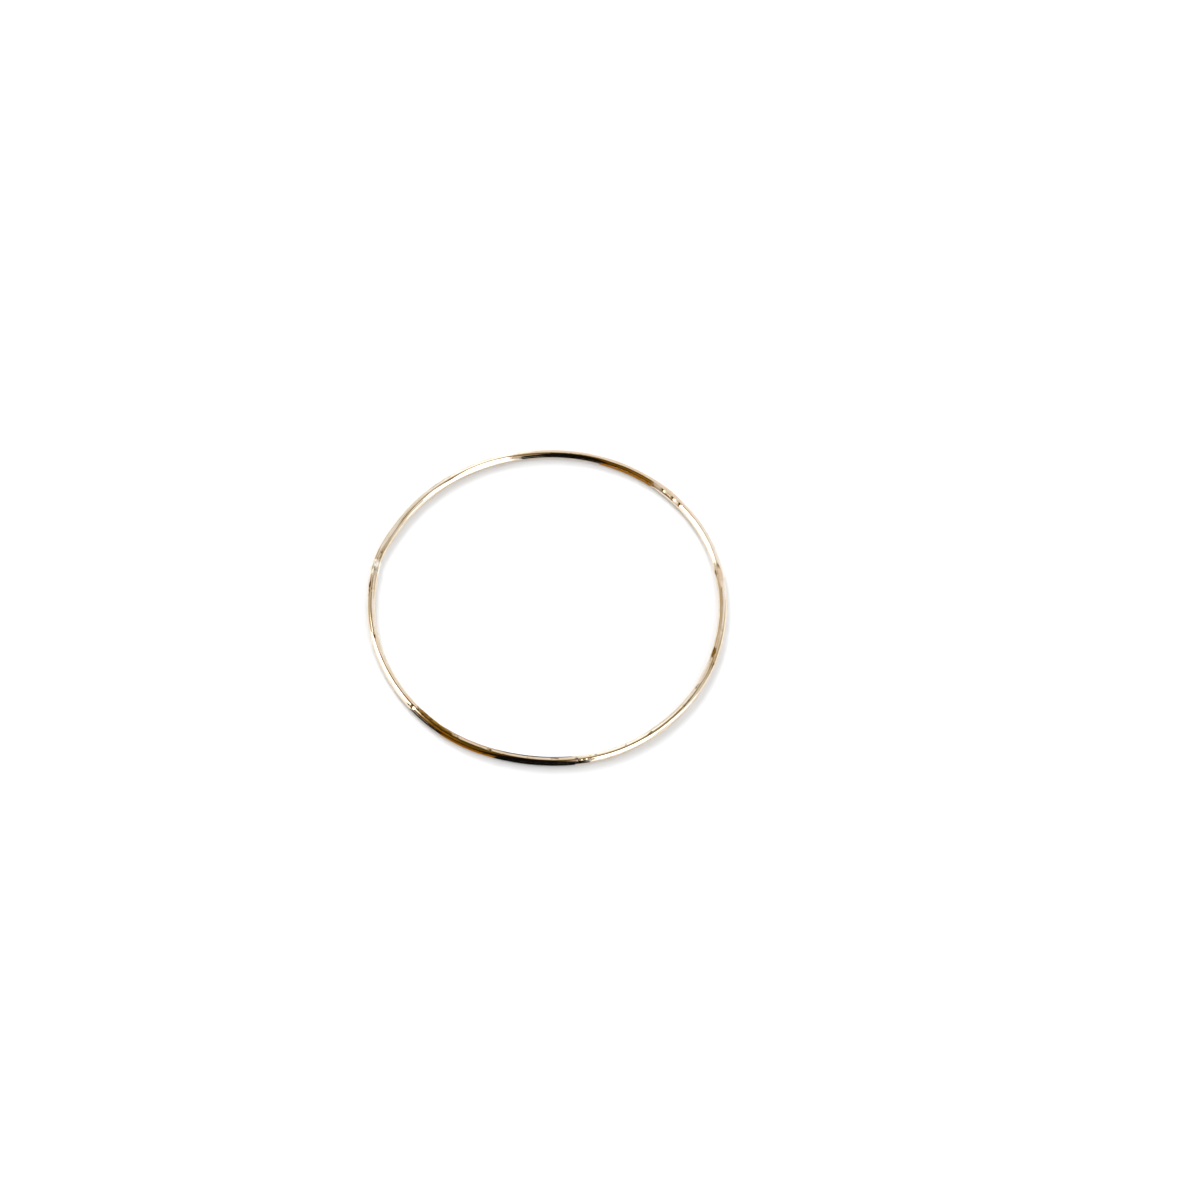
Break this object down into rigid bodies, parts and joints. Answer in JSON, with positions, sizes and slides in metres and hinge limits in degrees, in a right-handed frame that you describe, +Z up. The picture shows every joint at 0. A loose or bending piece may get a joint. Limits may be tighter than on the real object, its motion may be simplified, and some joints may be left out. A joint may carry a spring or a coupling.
{
  "type": "stackable ring",
  "caption": "Thin plain finger ring of round gold wire, hand rounded and soldered shut, with light hammer flats, worn alone or stacked.",
  "frame": {"origin": "middle of the ring's outline, on the surface that it lies on", "axes": "+Z up along the finger; -Y is the side nearest the camera; the soldered joint lies at 171 degrees anticlockwise from +X, seen from above"},
  "size_m": [0.0168, 0.0168, 0.0004],
  "materials": {
    "gold": "polished pale yellow gold with fine drawing lines, hairline scratches and small hammer flats"
  },
  "bodies": {
    "root": {"band": "gold"}
  },
  "joints": []
}
